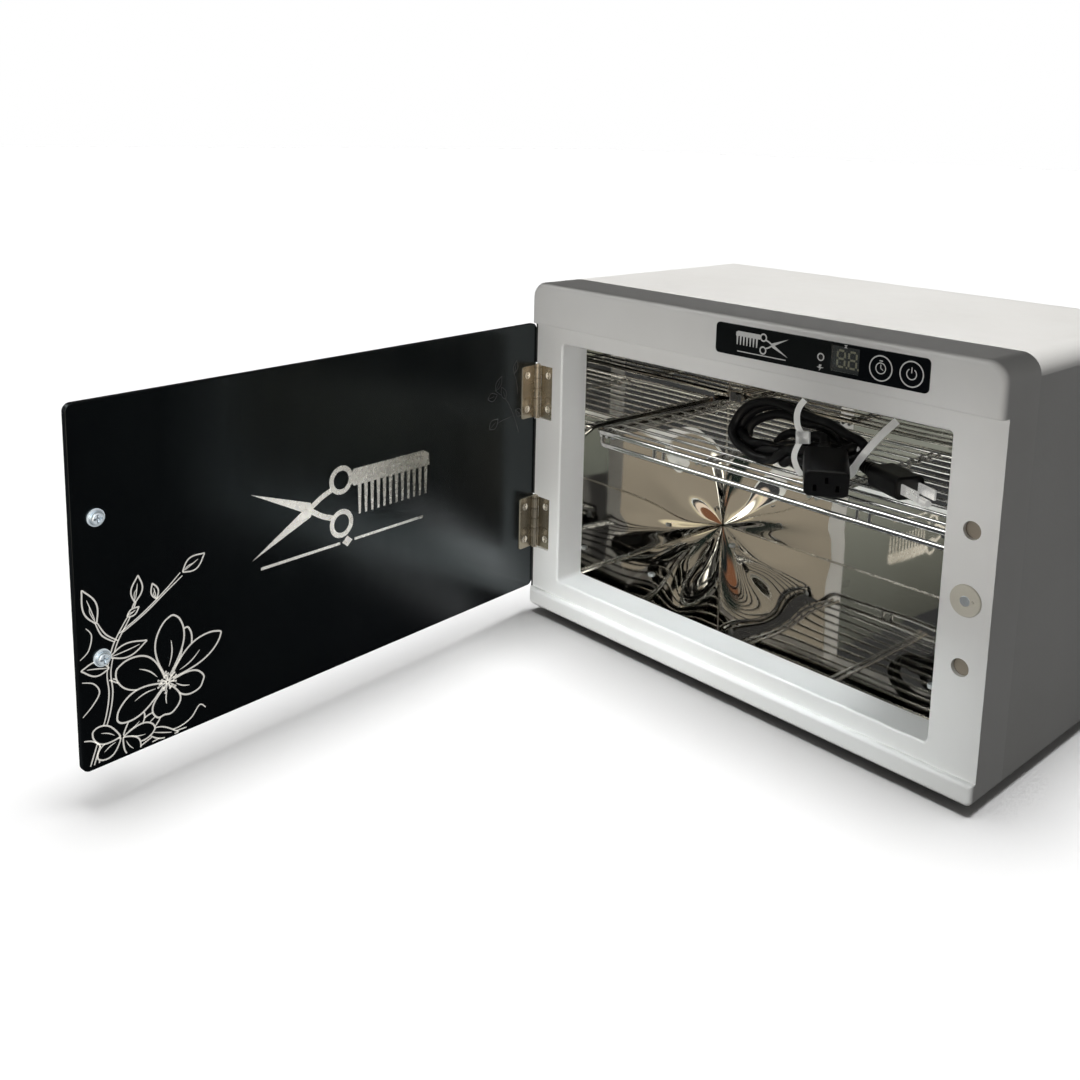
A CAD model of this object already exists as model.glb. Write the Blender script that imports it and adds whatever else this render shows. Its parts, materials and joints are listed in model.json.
import bpy
import bmesh
import math
import random
import json
from mathutils import Vector, Matrix

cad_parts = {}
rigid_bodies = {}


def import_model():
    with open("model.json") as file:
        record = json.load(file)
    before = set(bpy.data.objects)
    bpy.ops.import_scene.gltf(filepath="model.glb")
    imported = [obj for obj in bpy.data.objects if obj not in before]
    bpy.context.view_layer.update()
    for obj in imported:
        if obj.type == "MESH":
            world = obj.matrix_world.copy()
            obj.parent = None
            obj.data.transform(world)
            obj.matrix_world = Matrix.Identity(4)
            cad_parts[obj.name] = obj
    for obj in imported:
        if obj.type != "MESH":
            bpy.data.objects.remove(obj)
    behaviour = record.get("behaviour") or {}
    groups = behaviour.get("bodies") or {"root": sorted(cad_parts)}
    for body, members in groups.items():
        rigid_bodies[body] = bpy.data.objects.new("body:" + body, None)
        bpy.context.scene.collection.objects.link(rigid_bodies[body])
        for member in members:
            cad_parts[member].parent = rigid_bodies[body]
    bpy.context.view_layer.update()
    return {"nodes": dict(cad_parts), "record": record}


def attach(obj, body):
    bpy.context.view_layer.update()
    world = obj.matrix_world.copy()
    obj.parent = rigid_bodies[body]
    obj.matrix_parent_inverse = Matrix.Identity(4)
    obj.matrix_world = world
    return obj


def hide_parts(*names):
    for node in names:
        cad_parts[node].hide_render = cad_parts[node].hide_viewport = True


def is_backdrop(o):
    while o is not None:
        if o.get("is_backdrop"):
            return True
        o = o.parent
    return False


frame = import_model()
nodes = frame["nodes"]
scene = bpy.context.scene
MM = 0.001
rng = random.Random(7)

# -------------------------------------------------------------- camera frame
F, CX, CY = 1164.354, 564.081, 329.091
CAM = Vector((0.45414, -0.68572, 0.37029))
_rv = Vector((1.62765287, 0.723636497, -0.571885146))
_R = Matrix.Rotation(_rv.length, 3, _rv.normalized())
RIGHT, DOWN, FWD = Vector(_R[0]), Vector(_R[1]), Vector(_R[2])


def sight(u, v, y=None, z=None):
    """Point on the camera's sight line u, v of the 1080-unit frame where it meets
    the plane Y = y or Z = z.  Millimetres."""
    d = FWD + RIGHT * ((u - CX) / F) + DOWN * ((v - CY) / F)
    c = CAM / MM
    t = (y - c.y) / d.y if y is not None else (z - c.z) / d.z
    return c + d * t


# ------------------------------------------------------------------ geometry
HX, HY = -184.0, -105.9            # hinge axis, mm
OPEN = math.radians(83.25)
YF = -112.5                        # header face
YL = -105.9                        # door landing


def door_pt(s, n, z):
    """Point on the open door: s along the door from the hinge axis, n proud of
    its inner face, z height.  Millimetres in, metres out."""
    x, y = s, -2.45 + n
    c, k = math.cos(OPEN), math.sin(OPEN)
    return Vector((HX + x * c + y * k, HY - x * k + y * c, z)) * MM


def face_pt(x, n, z):
    """Point n proud of the header face."""
    return Vector((x, YF - n, z)) * MM


def mesh_obj(name, verts, faces, smooth=True):
    me = bpy.data.meshes.new(name)
    me.from_pydata([tuple(v) for v in verts], [], faces)
    me.update()
    ob = bpy.data.objects.new(name, me)
    scene.collection.objects.link(ob)
    if smooth:
        for p in me.polygons:
            p.use_smooth = True
    return ob


def catmull(pts, closed=False, step=0.6):
    """Smooth polyline through 2-D points."""
    P = [Vector(p) for p in pts]
    n = len(P)
    out = []
    rngi = range(n) if closed else range(n - 1)
    for i in rngi:
        if closed:
            p0, p1, p2, p3 = P[(i - 1) % n], P[i], P[(i + 1) % n], P[(i + 2) % n]
        else:
            p0, p1, p2, p3 = P[max(i - 1, 0)], P[i], P[i + 1], P[min(i + 2, n - 1)]
        m = max(2, int((p2 - p1).length / step))
        for k in range(m):
            t = k / m
            a = 2 * p1
            b = p2 - p0
            c = 2 * p0 - 5 * p1 + 4 * p2 - p3
            d = -p0 + 3 * p1 - 3 * p2 + p3
            out.append(0.5 * (a + b * t + c * t * t + d * t ** 3))
    if not closed:
        out.append(P[-1])
    return out


class Ink:
    """Collects flat raised shapes drawn in a plane and makes one closed mesh."""

    def __init__(self, place, height=0.05, base=-0.01):
        self.place, self.h, self.b = place, height, base
        self.v, self.f = [], []

    def prism(self, ring):
        """ring: closed list of 2-D points, simple polygon, as a thin solid."""
        n = len(ring)
        o = len(self.v)
        for p in ring:
            self.v.append(self.place(p[0], self.b, p[1]))
        for p in ring:
            self.v.append(self.place(p[0], self.h, p[1]))
        self.f.append(tuple(o + n + i for i in range(n)))
        self.f.append(tuple(o + n - 1 - i for i in range(n)))
        for i in range(n):
            j = (i + 1) % n
            self.f.append((o + i, o + j, o + n + j, o + n + i))

    def line(self, pts, width=0.9, closed=False, taper=0.0, smooth=True, step=0.6):
        P = catmull(pts, closed, step) if smooth else [Vector(p) for p in pts]
        n = len(P)
        if n < 2:
            return
        L, R = [], []
        for i in range(n):
            if closed:
                d = P[(i + 1) % n] - P[(i - 1) % n]
            else:
                d = P[min(i + 1, n - 1)] - P[max(i - 1, 0)]
            if d.length < 1e-9:
                d = Vector((1, 0))
            d.normalize()
            t = i / (n - 1)
            w = width / 2
            if taper and not closed:
                w *= 1 - taper * abs(2 * t - 1) ** 2.2
            q = Vector((-d.y, d.x)) * w
            L.append(P[i] + q)
            R.append(P[i] - q)
        o = len(self.v)
        for i in range(n):
            for p, h in ((L[i], self.b), (R[i], self.b), (R[i], self.h), (L[i], self.h)):
                self.v.append(self.place(p.x, h, p.y))
        m = n if closed else n - 1
        for i in range(m):
            a, b = o + 4 * i, o + 4 * ((i + 1) % n)
            for k in range(4):
                k2 = (k + 1) % 4
                self.f.append((a + k, b + k, b + k2, a + k2))
        if not closed:
            self.f.append((o, o + 1, o + 2, o + 3))
            e = o + 4 * (n - 1)
            self.f.append((e + 3, e + 2, e + 1, e))

    def disc(self, c, r, n=40):
        self.prism([(c[0] + r * math.cos(2 * math.pi * i / n), c[1] + r * math.sin(2 * math.pi * i / n)) for i in range(n)])

    def ring(self, c, r, w, n=72, a0=0.0, a1=360.0):
        full = abs(a1 - a0) >= 359.9
        m = n if full else n + 1
        pts = []
        for i in range(m):
            a = math.radians(a0 + (a1 - a0) * i / n)
            pts.append((c[0] + r * math.cos(a), c[1] + r * math.sin(a)))
        P = [Vector(p) for p in pts]
        o = len(self.v)
        for i, p in enumerate(P):
            u = (p - Vector(c)).normalized()
            for q, h in ((p + u * w / 2, self.b), (p - u * w / 2, self.b), (p - u * w / 2, self.h), (p + u * w / 2, self.h)):
                self.v.append(self.place(q.x, h, q.y))
        k_max = m if full else m - 1
        for i in range(k_max):
            a, b = o + 4 * i, o + 4 * ((i + 1) % m)
            for k in range(4):
                k2 = (k + 1) % 4
                self.f.append((a + k, b + k, b + k2, a + k2))
        if not full:
            self.f.append((o, o + 1, o + 2, o + 3))
            e = o + 4 * (m - 1)
            self.f.append((e + 3, e + 2, e + 1, e))

    def make(self, name):
        ob = mesh_obj(name, self.v, self.f, smooth=False)
        bm = bmesh.new()
        bm.from_mesh(ob.data)
        bmesh.ops.recalc_face_normals(bm, faces=bm.faces)
        bm.to_mesh(ob.data)
        bm.free()
        return ob


def tube(name, path, radius, sides=20, closed=False, radii=None, flat=None):
    """Round tube along a 3-D path given in metres, as a mesh."""
    P = [Vector(p) for p in path]
    n = len(P)
    T = []
    for i in range(n):
        if closed:
            d = P[(i + 1) % n] - P[(i - 1) % n]
        else:
            d = P[min(i + 1, n - 1)] - P[max(i - 1, 0)]
        T.append(d.normalized())
    up = Vector((0, 0, 1)) if abs(T[0].z) < 0.9 else Vector((1, 0, 0))
    u = (up - T[0] * up.dot(T[0])).normalized()
    verts, faces = [], []
    for i in range(n):
        if i:
            q = T[i - 1].rotation_difference(T[i])
            u = q @ u
            u = (u - T[i] * u.dot(T[i])).normalized()
        w = T[i].cross(u)
        r = radii[i] if radii else radius
        for k in range(sides):
            a = 2 * math.pi * k / sides
            verts.append(P[i] + u * math.cos(a) * r + w * math.sin(a) * r)
    m = n if closed else n - 1
    for i in range(m):
        a, b = i * sides, ((i + 1) % n) * sides
        for k in range(sides):
            k2 = (k + 1) % sides
            faces.append((a + k, a + k2, b + k2, b + k))
    if not closed:
        faces.append(tuple(reversed(range(sides))))
        faces.append(tuple((n - 1) * sides + k for k in range(sides)))
    return mesh_obj(name, verts, faces)


def spline3(pts, step=1.2, closed=False):
    P = [Vector(p) for p in pts]
    n = len(P)
    out = []
    for i in (range(n) if closed else range(n - 1)):
        if closed:
            p0, p1, p2, p3 = P[(i - 1) % n], P[i], P[(i + 1) % n], P[(i + 2) % n]
        else:
            p0, p1, p2, p3 = P[max(i - 1, 0)], P[i], P[i + 1], P[min(i + 2, n - 1)]
        m = max(2, int((p2 - p1).length / step))
        for k in range(m):
            t = k / m
            out.append(0.5 * ((2 * p1) + (p2 - p0) * t + (2 * p0 - 5 * p1 + 4 * p2 - p3) * t * t + (-p0 + 3 * p1 - 3 * p2 + p3) * t ** 3))
    if not closed:
        out.append(P[-1])
    return out


# ----------------------------------------------------------------- materials
class NT:
    """Small helper around a material's node tree."""

    def __init__(self, name):
        self.m = bpy.data.materials.new(name)
        self.m.use_nodes = True
        self.t = self.m.node_tree
        self.t.nodes.clear()
        self.out = self.add("ShaderNodeOutputMaterial")
        self.coord = self.add("ShaderNodeTexCoord")

    def add(self, kind, **props):
        n = self.t.nodes.new(kind)
        for k, v in props.items():
            setattr(n, k, v)
        return n

    def link(self, a, b):
        self.t.links.new(a, b)

    def put(self, socket, v):
        if isinstance(v, (int, float)):
            socket.default_value = v
        elif isinstance(v, (tuple, list)):
            socket.default_value = tuple(v) + ((1.0,) if len(v) == 3 and len(socket.default_value) == 4 else ())
        else:
            self.link(v, socket)

    def noise(self, scale, detail=3.0, rough=0.55, vec=None, stretch=None, dist=0.0):
        v = vec if vec is not None else self.coord.outputs["Object"]
        if stretch:
            mp = self.add("ShaderNodeMapping")
            mp.inputs["Scale"].default_value = stretch
            self.link(v, mp.inputs["Vector"])
            v = mp.outputs["Vector"]
        n = self.add("ShaderNodeTexNoise")
        n.inputs["Scale"].default_value = scale
        n.inputs["Detail"].default_value = detail
        n.inputs["Roughness"].default_value = rough
        n.inputs["Distortion"].default_value = dist
        self.link(v, n.inputs["Vector"])
        return n.outputs["Fac"]

    def ramp(self, fac, stops):
        r = self.add("ShaderNodeValToRGB")
        e = r.color_ramp.elements
        while len(e) < len(stops):
            e.new(0.5)
        for el, (p, c) in zip(e, stops):
            el.position = p
            el.color = (c, c, c, 1) if isinstance(c, (int, float)) else tuple(c) + (1,)
        self.put(r.inputs["Fac"], fac)
        return r.outputs["Color"]

    def math(self, op, a, b=None, clamp=False):
        n = self.add("ShaderNodeMath", operation=op, use_clamp=clamp)
        self.put(n.inputs[0], a)
        if b is not None:
            self.put(n.inputs[1], b)
        return n.outputs[0]

    def mix(self, fac, a, b, blend="MIX"):
        n = self.add("ShaderNodeMix", data_type="RGBA", blend_type=blend)
        self.put(n.inputs[0], fac)
        self.put(n.inputs[6], a)
        self.put(n.inputs[7], b)
        return n.outputs[2]

    def edge(self, radius=0.0008, gain=6.0):
        """0 on flats, towards 1 on edges."""
        b = self.add("ShaderNodeBevel", samples=4)
        b.inputs["Radius"].default_value = radius
        g = self.add("ShaderNodeNewGeometry")
        d = self.add("ShaderNodeVectorMath", operation="DOT_PRODUCT")
        self.link(b.outputs[0], d.inputs[0])
        self.link(g.outputs["Normal"], d.inputs[1])
        return self.math("MULTIPLY", self.math("SUBTRACT", 1.0, d.outputs["Value"]), gain, clamp=True)

    def bump(self, height, strength, distance=0.0002, normal=None):
        n = self.add("ShaderNodeBump")
        n.inputs["Strength"].default_value = strength
        n.inputs["Distance"].default_value = distance
        self.put(n.inputs["Height"], height)
        if normal is not None:
            self.link(normal, n.inputs["Normal"])
        return n.outputs[0]

    def principled(self, color, rough, metallic=0.0, normal=None, **kw):
        p = self.add("ShaderNodeBsdfPrincipled")
        self.put(p.inputs["Base Color"], color)
        self.put(p.inputs["Roughness"], rough)
        self.put(p.inputs["Metallic"], metallic)
        if normal is not None:
            self.link(normal, p.inputs["Normal"])
        for k, v in kw.items():
            self.put(p.inputs[k], v)
        self.p = p
        return p.outputs[0]

    def done(self, shader):
        self.link(shader, self.out.inputs["Surface"])
        return self.m


def m_white_abs():
    t = NT("mat_white_abs")
    big = t.noise(9, 4)
    fine = t.noise(1900, 2)
    col = t.mix(t.ramp(big, [(0.35, 0.0), (0.75, 1.0)]), (0.86, 0.86, 0.85), (0.80, 0.795, 0.78))
    scuff = t.ramp(t.noise(160, 8, 0.7, stretch=(1, 1, 9)), [(0.66, 0.0), (0.74, 1.0)])
    col = t.mix(t.math("MULTIPLY", scuff, 0.07), col, (0.55, 0.54, 0.52))
    col = t.mix(t.math("MULTIPLY", t.edge(0.0009, 4.0), 0.35), col, (0.93, 0.93, 0.92))
    # floors of the two screw cups: raw brownish backing
    sep = t.add("ShaderNodeSeparateXYZ")
    t.link(t.coord.outputs["Object"], sep.inputs[0])
    for zc in (0.07755, 0.15735):
        dv = t.add("ShaderNodeVectorMath", operation="DISTANCE")
        cmb = t.add("ShaderNodeCombineXYZ")
        t.link(sep.outputs["X"], cmb.inputs[0])
        t.link(sep.outputs["Z"], cmb.inputs[2])
        t.link(cmb.outputs[0], dv.inputs[0])
        dv.inputs[1].default_value = (0.1697, 0.0, zc)
        inr = t.math("LESS_THAN", dv.outputs["Value"], 0.0056)
        deep = t.math("GREATER_THAN", sep.outputs["Y"], -0.1029)
        col = t.mix(t.math("MULTIPLY", inr, deep), col, (0.27, 0.235, 0.19))
    rough = t.ramp(t.noise(60, 6, 0.6), [(0.3, 0.30), (0.75, 0.42)])
    nrm = t.bump(fine, 0.10, 0.00012)
    return t.done(t.principled(col, rough, 0.0, nrm, **{"Specular IOR Level": 0.45, "Subsurface Weight": 0.03, "Subsurface Radius": (0.002, 0.002, 0.002)}))


def m_white_steel():
    t = NT("mat_white_steel")
    big = t.noise(7, 4)
    orange = t.noise(620, 3, 0.5)
    col = t.mix(t.ramp(big, [(0.3, 0.0), (0.8, 1.0)]), (0.80, 0.80, 0.79), (0.74, 0.735, 0.72))
    smudge = t.ramp(t.noise(34, 7, 0.68), [(0.55, 0.0), (0.75, 1.0)])
    col = t.mix(t.math("MULTIPLY", smudge, 0.06), col, (0.50, 0.48, 0.45))
    col = t.mix(t.math("MULTIPLY", t.edge(0.0007, 5.0), 0.30), col, (0.88, 0.88, 0.87))
    rough = t.ramp(t.noise(45, 6, 0.6), [(0.3, 0.36), (0.75, 0.50)])
    nrm = t.bump(orange, 0.22, 0.00025)
    return t.done(t.principled(col, rough, 0.0, nrm, **{"Specular IOR Level": 0.5, "Coat Weight": 0.15, "Coat Roughness": 0.25}))


def m_metal(name, col_a, col_b, r0, r1, scale=220, bump=0.05, brush=None, scratch=0.0, edge=0.0, stain_amt=0.18, metal=1.0, glow=None):
    """glow: function of (material, colour) giving a small emission that stands in for sharp studio highlights."""
    t = NT(name)
    n = t.noise(scale, 5, 0.6, stretch=brush)
    col = t.mix(t.ramp(n, [(0.35, 0.0), (0.7, 1.0)]), col_a, col_b)
    stain = t.ramp(t.noise(55, 5, 0.65), [(0.55, 0.0), (0.8, 1.0)])
    col = t.mix(t.math("MULTIPLY", stain, stain_amt), col, tuple(c * 0.62 for c in col_b))
    if edge:
        col = t.mix(t.math("MULTIPLY", t.edge(0.0004, 5.0), edge), col, (0.95, 0.94, 0.92))
    rough = t.ramp(t.noise(70, 4, 0.6), [(0.3, r0), (0.75, r1)])
    h = t.noise(scale * 4, 3, 0.5, stretch=brush)
    nrm = t.bump(h, bump, 0.0001)
    if scratch:
        s = t.ramp(t.noise(260, 2, 0.4, stretch=(1, 14, 3)), [(0.70, 0.0), (0.73, 1.0)])
        nrm = t.bump(s, scratch, 0.0001, nrm)
    kw = {"Emission Color": glow(t, col), "Emission Strength": 1.0} if glow else {}
    return t.done(t.principled(col, rough, metal, nrm, **kw))


def place_mm(t):
    """Object-space X, Y, Z in millimetres."""
    sep = t.add("ShaderNodeSeparateXYZ")
    t.link(t.coord.outputs["Object"], sep.inputs[0])
    return [t.math("MULTIPLY", sep.outputs[k], 1000.0) for k in "XYZ"]


def hinge_uv(t):
    """Distance out from the pin, and up or down from the nearest screw row, in millimetres."""
    x, y, z = place_mm(t)
    u = t.math("MAXIMUM", t.math("ABSOLUTE", t.math("SUBTRACT", x, HX)), t.math("ABSOLUTE", t.math("SUBTRACT", y, HY)))
    zc = t.math("ABSOLUTE", t.math("SUBTRACT", t.math("ABSOLUTE", t.math("SUBTRACT", z, 124.2)), 51.5))
    return u, zc, t.math("SUBTRACT", zc, 13.0)


def lit(t, col, amount):
    return t.mix(1.0, col, amount, "MULTIPLY")


def glow_leaf(t, col):
    u, zc, w = hinge_uv(t)
    d = t.math("SQRT", t.math("ADD", t.math("POWER", t.math("SUBTRACT", u, 10.0), 2.0), t.math("POWER", w, 2.0)))
    bar = t.ramp(t.math("DIVIDE", u, 16.0), [(0.0, 0.36), (0.13, 0.22), (0.165, 0.0), (0.22, 0.01), (0.42, 0.05), (0.70, 0.11), (0.93, 0.06), (0.985, 0.26)])
    ring = t.ramp(t.math("DIVIDE", d, 5.0), [(0.52, 1.0), (0.56, 0.12), (0.68, 0.16), (0.74, 1.0)])
    # dark joints between the knuckles, only on the barrel
    kn = t.math("ABSOLUTE", t.math("SUBTRACT", zc, 8.0))
    seam = t.ramp(t.math("DIVIDE", t.math("ABSOLUTE", t.math("SUBTRACT", kn, 4.0)), 2.0), [(0.10, 0.10), (0.26, 1.0)])
    on_bar = t.ramp(t.math("DIVIDE", u, 16.0), [(0.16, 1.0), (0.18, 0.0)])
    seam = t.mix(on_bar, (1, 1, 1), seam)
    return lit(t, lit(t, lit(t, col, bar), ring), seam)


def glow_hinge_screw(t, col):
    u, zc, w = hinge_uv(t)
    a = t.math("ABSOLUTE", t.math("SUBTRACT", u, 10.0))
    b = t.math("ABSOLUTE", w)
    cross = t.ramp(t.math("DIVIDE", t.math("MINIMUM", a, b), 1.0), [(0.50, 0.04), (0.66, 1.0)])
    tilt = t.math("ADD", t.math("MULTIPLY", t.math("SUBTRACT", u, 10.0), 0.16), 0.5)
    body = t.ramp(tilt, [(0.15, 0.80), (0.5, 0.42), (0.85, 0.20)])
    return lit(t, lit(t, col, body), cross)


def glow_door_screw(t, col):
    x, y, z = place_mm(t)
    a = t.math("ABSOLUTE", t.math("SUBTRACT", y, -457.38))
    zz = t.math("SUBTRACT", t.math("ABSOLUTE", t.math("SUBTRACT", z, 117.45)), 39.9)
    b = t.math("ABSOLUTE", zz)
    r = t.math("SQRT", t.math("ADD", t.math("POWER", a, 2.0), t.math("POWER", b, 2.0)))
    cross = t.ramp(t.math("MINIMUM", a, b), [(0.40, 0.0), (0.62, 1.0)])
    core = t.ramp(t.math("DIVIDE", r, 5.0), [(0.46, 0.0), (0.52, 1.0)])
    cut = t.ramp(t.math("MAXIMUM", cross, core), [(0.0, 0.10), (1.0, 1.0)])
    dome = t.ramp(t.math("DIVIDE", r, 5.0), [(0.0, 0.42), (0.50, 0.62), (0.66, 0.30), (0.74, 0.05), (0.80, 0.30), (0.93, 0.55)])
    return lit(t, lit(t, col, dome), cut)


DISH_R = 0.066
PETALS, PETAL_A = 5.0, 0.021


def m_mirror():
    """Mirror-polished stainless sheet: nearly flat, dished in petals round the lower left rear corner."""
    t = NT("mat_mirror_steel")
    obj = t.coord.outputs["Object"]
    v = t.add("ShaderNodeVectorMath", operation="SUBTRACT")
    t.link(obj, v.inputs[0])
    v.inputs[1].default_value = (-0.1575, 0.0936, 0.0253)
    ln = t.add("ShaderNodeVectorMath", operation="LENGTH")
    t.link(v.outputs[0], ln.inputs[0])
    d = ln.outputs["Value"]
    # smooth dishing with a rim at about 55 mm from the corner
    g = t.math("POWER", 2.718, t.math("MULTIPLY", t.math("POWER", t.math("DIVIDE", d, DISH_R), 2.4), -1.0))
    sep = t.add("ShaderNodeSeparateXYZ")
    t.link(v.outputs[0], sep.inputs[0])
    # the sheet is creased in radial petals: height grows outwards and changes with the angle round the corner
    ax = sep.outputs["X"]
    ay = t.math("MULTIPLY", sep.outputs["Y"], -1.0)
    az_ = sep.outputs["Z"]
    on_back = t.math("LESS_THAN", ay, 0.0012)
    on_left = t.math("LESS_THAN", ax, 0.0012)
    ph = t.math("ARCTAN2", ay, ax)
    ph = t.math("ADD", t.math("MULTIPLY", ph, t.math("SUBTRACT", 1.0, on_left)), t.math("MULTIPLY", t.math("ADD", 2.1, t.math("ARCTAN2", az_, ay)), on_left))
    ph = t.math("ADD", t.math("MULTIPLY", ph, t.math("SUBTRACT", 1.0, on_back)), t.math("MULTIPLY", t.math("ADD", 4.4, t.math("ARCTAN2", az_, ax)), on_back))
    ph = t.math("ADD", ph, t.math("MULTIPLY", t.noise(14, 1, 0.3), 0.5))
    fold = t.math("COSINE", t.math("MULTIPLY", ph, PETALS))
    walls = t.math("ADD", 1.0, t.math("MULTIPLY", t.math("MAXIMUM", on_left, on_back), 1.3))
    fold = t.math("MULTIPLY", fold, walls)
    h = t.math("MULTIPLY", g, t.math("MULTIPLY", t.math("MULTIPLY", d, PETAL_A), fold))
    wave = t.noise(5.0, 2, 0.4)
    h = t.math("ADD", h, t.math("MULTIPLY", wave, 0.00075))
    nrm = t.bump(h, 1.0, 1.0)
    micro = t.noise(900, 3, 0.6, stretch=(1, 0.05, 1))
    nrm = t.bump(micro, 0.010, 0.00004, nrm)
    smear = t.noise(30, 7, 0.7)
    rough = t.ramp(smear, [(0.35, 0.012), (0.8, 0.05)])
    col = t.mix(t.ramp(t.noise(12, 4), [(0.35, 0.0), (0.7, 1.0)]), (0.90, 0.885, 0.85), (0.85, 0.835, 0.80))
    spots = t.ramp(t.noise(420, 3, 0.5), [(0.74, 0.0), (0.78, 1.0)])
    col = t.mix(t.math("MULTIPLY", spots, 0.2), col, (0.45, 0.44, 0.42))
    return t.done(t.principled(col, rough, 1.0, nrm))


def m_gloss_black(name="mat_gloss_black", rough=(0.06, 0.14), tint=(0.0028, 0.0036, 0.0045), coat=0.15):
    t = NT(name)
    dust = t.ramp(t.noise(2600, 2, 0.5), [(0.70, 0.0), (0.76, 1.0)])
    col = t.mix(t.math("MULTIPLY", dust, 0.06), tint, (0.16, 0.16, 0.16))
    r = t.ramp(t.noise(38, 7, 0.7), [(0.35, rough[0]), (0.8, rough[1])])
    nrm = t.bump(t.noise(14, 3, 0.5), 0.02, 0.002)
    return t.done(t.principled(col, r, 0.0, nrm, **{"Specular IOR Level": 0.28, "Specular Tint": (0.85, 0.95, 1.0), "Coat Weight": coat, "Coat Roughness": rough[0]}))


def m_door():
    """Back-painted glossy door: dark glass-like face with wipe marks, fine hairlines and paler edges."""
    t = NT("mat_door_black")
    dust = t.ramp(t.noise(2300, 2, 0.5), [(0.72, 0.0), (0.78, 1.0)])
    wipe = t.noise(22, 6, 0.72, stretch=(1.0, 1.0, 0.35))
    col = t.mix(t.ramp(wipe, [(0.35, 0.0), (0.75, 1.0)]), (0.0022, 0.0028, 0.0034), (0.0048, 0.0058, 0.0064))
    col = t.mix(t.math("MULTIPLY", dust, 0.05), col, (0.20, 0.20, 0.20))
    col = t.mix(t.math("MULTIPLY", t.edge(0.0010, 3.0), 0.30), col, (0.06, 0.062, 0.066))
    r = t.ramp(wipe, [(0.3, 0.17), (0.8, 0.30)])
    hair = t.ramp(t.noise(120, 2, 0.4, stretch=(1, 1, 16), dist=0.4), [(0.715, 0.0), (0.73, 1.0)])
    nrm = t.bump(hair, 0.05, 0.0001)
    nrm = t.bump(t.noise(9, 3, 0.5), 0.03, 0.004, nrm)
    # soft slanting streaks thrown by the bright frame, inner face only
    x, y, z = place_mm(t)
    s = t.math("DIVIDE", t.math("SUBTRACT", HY, y), 365.0)
    zf = t.math("DIVIDE", t.math("SUBTRACT", z, 14.0), 207.0)
    off = t.math("SUBTRACT", zf, t.math("MULTIPLY", s, 1.30))
    g1 = t.math("POWER", 2.718, t.math("MULTIPLY", t.math("POWER", t.math("DIVIDE", t.math("ABSOLUTE", off), 0.085), 2.0), -1.0))
    g2 = t.math("POWER", 2.718, t.math("MULTIPLY", t.math("POWER", t.math("DIVIDE", t.math("ABSOLUTE", t.math("ADD", off, 0.25)), 0.10), 2.0), -1.0))
    a1 = t.ramp(s, [(0.02, 0.25), (0.12, 1.0), (0.24, 0.75), (0.42, 0.0)])
    a2 = t.ramp(s, [(0.10, 0.0), (0.22, 1.0), (0.40, 0.55), (0.62, 0.0)])
    st = t.math("ADD", t.math("MULTIPLY", t.math("MULTIPLY", g1, a1), 0.055), t.math("MULTIPLY", t.math("MULTIPLY", g2, a2), 0.026))
    geo = t.add("ShaderNodeNewGeometry")
    sn = t.add("ShaderNodeSeparateXYZ")
    t.link(geo.outputs["Normal"], sn.inputs[0])
    st = t.math("MULTIPLY", st, t.ramp(sn.outputs["X"], [(0.5, 0.0), (0.8, 1.0)]))
    # a mirror catches the door at a flat angle: grey-green, paler low down
    lp = t.add("ShaderNodeLightPath")
    flat = t.ramp(zf, [(0.0, 0.26), (0.45, 0.15), (1.0, 0.05)])
    em = t.mix(lp.outputs["Is Glossy Ray"], lit(t, (0.93, 0.98, 1.0), st), lit(t, (0.96, 1.0, 0.86), flat))
    return t.done(t.principled(col, r, 0.0, nrm, **{"Specular IOR Level": 0.60, "Specular Tint": (0.80, 0.95, 1.0), "Coat Weight": 0.0,
                                                    "Emission Color": em, "Emission Strength": 1.0}))


def m_plastic(name, col_a, col_b, r0=0.4, r1=0.6, tex=900, bump=0.12, edge=0.15, spec=0.45, sss=0.0, glow=0.0):
    t = NT(name)
    col = t.mix(t.ramp(t.noise(24, 4), [(0.35, 0.0), (0.7, 1.0)]), col_a, col_b)
    if edge:
        col = t.mix(t.math("MULTIPLY", t.edge(0.0005, 4.0), edge), col, tuple(min(1.0, c * 1.6 + 0.04) for c in col_a))
    rough = t.ramp(t.noise(90, 6, 0.62), [(0.3, r0), (0.8, r1)])
    nrm = t.bump(t.noise(tex, 3, 0.55), bump, 0.0001)
    kw = {"Specular IOR Level": spec}
    if sss:
        kw["Subsurface Weight"] = sss
        kw["Subsurface Radius"] = (0.001, 0.001, 0.001)
    if glow:
        kw["Emission Color"] = col
        kw["Emission Strength"] = glow
    return t.done(t.principled(col, rough, 0.0, nrm, **kw))


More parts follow.
